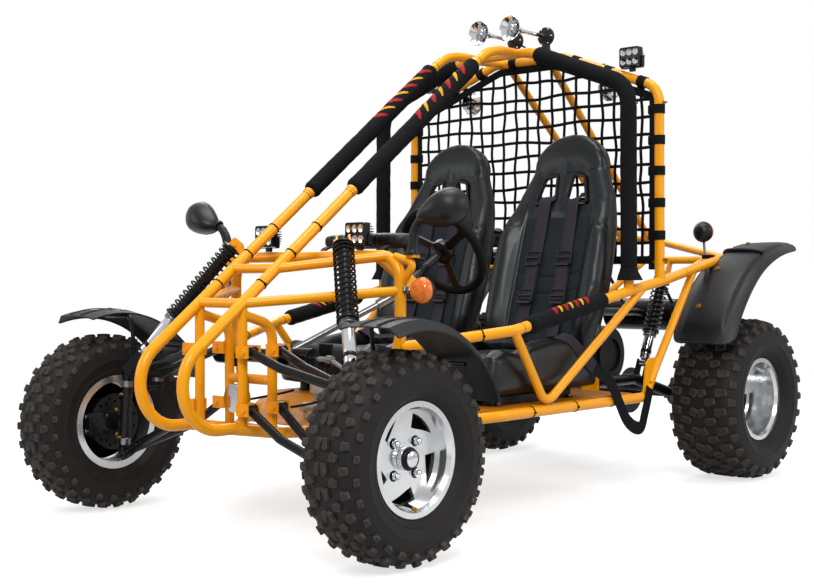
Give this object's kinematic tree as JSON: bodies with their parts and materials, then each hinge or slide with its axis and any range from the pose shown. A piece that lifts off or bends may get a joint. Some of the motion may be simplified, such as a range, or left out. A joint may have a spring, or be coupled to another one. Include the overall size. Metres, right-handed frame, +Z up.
{
  "type": "two-seat off-road go-kart",
  "caption": "Two-seat off-road go-kart with a tubular roll cage, bucket seats, knobby tyres, steering, fenders and lamps.",
  "frame": {"origin": "on the ground, on the centre line, at the middle of the overall box", "axes": "+X to the vehicle's left, the driver's side; -Y forward; +Z up"},
  "size_m": [1.416, 2.3743, 1.56],
  "materials": {
    "frame_paint": "gloss yellow-orange powder coat",
    "pan_paint": "gloss yellow-orange powder coat on sheet",
    "black_metal": "satin black powder coat",
    "foam_cover": "black woven sleeve over foam",
    "vinyl": "black grained vinyl",
    "webbing": "woven belt webbing",
    "net_webbing": "black woven net",
    "cast_metal": "sand cast aluminium and iron",
    "black_plastic": "black moulded plastic",
    "fender_plastic": "black grained polypropylene",
    "chrome": "chrome plate",
    "rim_metal": "polished cast aluminium",
    "steel": "turned steel",
    "rubber": "black rubber",
    "tyre": "black tyre rubber",
    "lens_orange": "orange lens",
    "lamp_glass": "clear lens"
  },
  "bodies": {
    "root": {"nose_loops": "frame_paint", "front_frame": "frame_paint", "dash_frame": "frame_paint", "floor_frame": "frame_paint", "floor_pan": "pan_paint", "side_frame_left": "frame_paint", "side_frame_right": "frame_paint", "roof_rails": "frame_paint", "main_hoop": "frame_paint", "rear_hoop": "frame_paint", "rear_frame": "frame_paint", "tube_pads": "foam_cover", "hoop_pad": "foam_cover", "seat_left": "vinyl", "seat_right": "vinyl", "harness": "webbing", "safety_net": "net_webbing", "engine": "cast_metal", "muffler": "black_metal", "swing_arm": "black_metal", "rear_shocks": "black_metal", "steering_rack": "rubber", "dash_cowl": "black_plastic", "pedals": "black_metal", "brake_master": "steel", "disc_horn": "chrome", "lamp_pods": "black_plastic", "round_lamps": "lamp_glass", "turn_lamps": "lens_orange", "air_horns": "chrome", "mirrors": "black_plastic", "rear_fenders": "fender_plastic", "a_arms": "black_metal", "front_shocks": "black_metal"},
    "steering": {"steering_wheel": "black_plastic"},
    "lower_shaft": {"steering_shaft": "steel"},
    "track_rod": {"tie_rods": "steel"},
    "steer_left": {"knuckle_left": "black_metal", "front_fender_left": "fender_plastic"},
    "steer_right": {"knuckle_right": "black_metal", "front_fender_right": "fender_plastic"},
    "wheel_front_left": {"tyre_front_left": "tyre", "rim_front_left": "rim_metal", "hub_front_left": "steel"},
    "wheel_front_right": {"tyre_front_right": "tyre", "rim_front_right": "rim_metal", "hub_front_right": "steel"},
    "rear_wheels": {"rear_axle": "steel", "rear_tyres": "tyre", "rear_rims": "rim_metal"}
  },
  "joints": [
    {"name": "steering_spin", "type": "hinge", "parent": "root", "child": "steering", "pos_m": [0.25, -0.3245, 0.782], "axis": [0, 0.848, 0.5299], "range_deg": [-270, 270]},
    {"name": "lower_shaft_spin", "type": "hinge", "parent": "root", "child": "lower_shaft", "pos_m": [0.25, -0.52803, 0.65482], "axis": [0.4948, 0.7408, 0.4544], "range_deg": [-270, 270]},
    {"name": "rack_slide", "type": "slide", "parent": "root", "child": "track_rod", "axis": [1, 0, 0], "range_m": [-0.049, 0.049]},
    {"name": "steer_left_turn", "type": "hinge", "parent": "root", "child": "steer_left", "pos_m": [0.5, -0.9215, 0.2665], "axis": [-0.0872, 0, 0.9962], "range_deg": [-24, 24]},
    {"name": "steer_right_turn", "type": "hinge", "parent": "root", "child": "steer_right", "pos_m": [-0.5, -0.9215, 0.2665], "axis": [0.0872, 0, 0.9962], "range_deg": [-24.5, 24.5]},
    {"name": "spin_front_left", "type": "hinge", "parent": "steer_left", "child": "wheel_front_left", "pos_m": [0.61, -0.9215, 0.2665], "axis": [1, 0, 0], "continuous": true},
    {"name": "spin_front_right", "type": "hinge", "parent": "steer_right", "child": "wheel_front_right", "pos_m": [-0.61, -0.9215, 0.2665], "axis": [1, 0, 0], "continuous": true},
    {"name": "spin_rear", "type": "hinge", "parent": "root", "child": "rear_wheels", "pos_m": [0, 0.9085, 0.2795], "axis": [1, 0, 0], "continuous": true}
  ],
  "couplings": [
    {"joint": "steer_right_turn", "follows": "steer_left_turn", "ratio": 1},
    {"joint": "rack_slide", "follows": "steer_left_turn", "m_per_rad": -0.11459},
    {"joint": "steering_spin", "follows": "steer_left_turn", "ratio": 11.202},
    {"joint": "lower_shaft_spin", "follows": "steer_left_turn", "ratio": 11.202}
  ]
}
